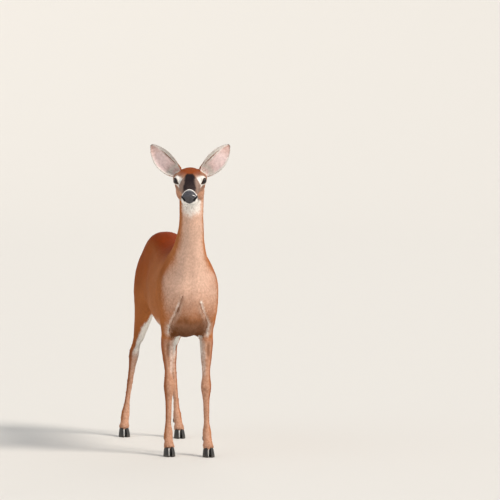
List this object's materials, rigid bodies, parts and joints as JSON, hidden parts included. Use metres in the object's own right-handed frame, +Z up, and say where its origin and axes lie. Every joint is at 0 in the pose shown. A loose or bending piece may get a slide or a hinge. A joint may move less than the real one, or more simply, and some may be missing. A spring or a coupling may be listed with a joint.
{
  "type": "white-tailed deer",
  "caption": "Life-size model of a standing white-tailed deer doe, alert, head up and turned a little to her right.",
  "frame": {"origin": "on the floor, under the middle of the whole animal's box", "axes": "+Z up; she stands facing -Y, and her left side is +X"},
  "size_m": [0.3408, 1.2354, 1.2841],
  "materials": {
    "coat": "short flat summer fur",
    "tail coat": "long soft fur",
    "nose skin": "moist pebbled skin",
    "eye": "wet and clear",
    "hoof horn": "worn horn"
  },
  "bodies": {
    "root": {"dewclaw_fore_left_inner": "hoof horn", "dewclaw_fore_left_outer": "hoof horn", "dewclaw_fore_right_inner": "hoof horn", "dewclaw_fore_right_outer": "hoof horn", "dewclaw_hind_left_inner": "hoof horn", "dewclaw_hind_left_outer": "hoof horn", "dewclaw_hind_right_inner": "hoof horn", "dewclaw_hind_right_outer": "hoof horn", "ear_left": "coat", "ear_right": "coat", "eye_left": "eye", "eye_right": "eye", "fore_shank_left": "coat", "fore_shank_right": "coat", "forearm_left": "coat", "forearm_right": "coat", "head": "coat", "hind_shank_left": "coat", "hind_shank_right": "coat", "hoof_fore_left_inner": "hoof horn", "hoof_fore_left_outer": "hoof horn", "hoof_fore_right_inner": "hoof horn", "hoof_fore_right_outer": "hoof horn", "hoof_hind_left_inner": "hoof horn", "hoof_hind_left_outer": "hoof horn", "hoof_hind_right_inner": "hoof horn", "hoof_hind_right_outer": "hoof horn", "neck": "coat", "nose_pad": "nose skin", "tail": "tail coat", "thigh_left": "coat", "thigh_right": "coat", "trunk": "coat"}
  },
  "joints": []
}
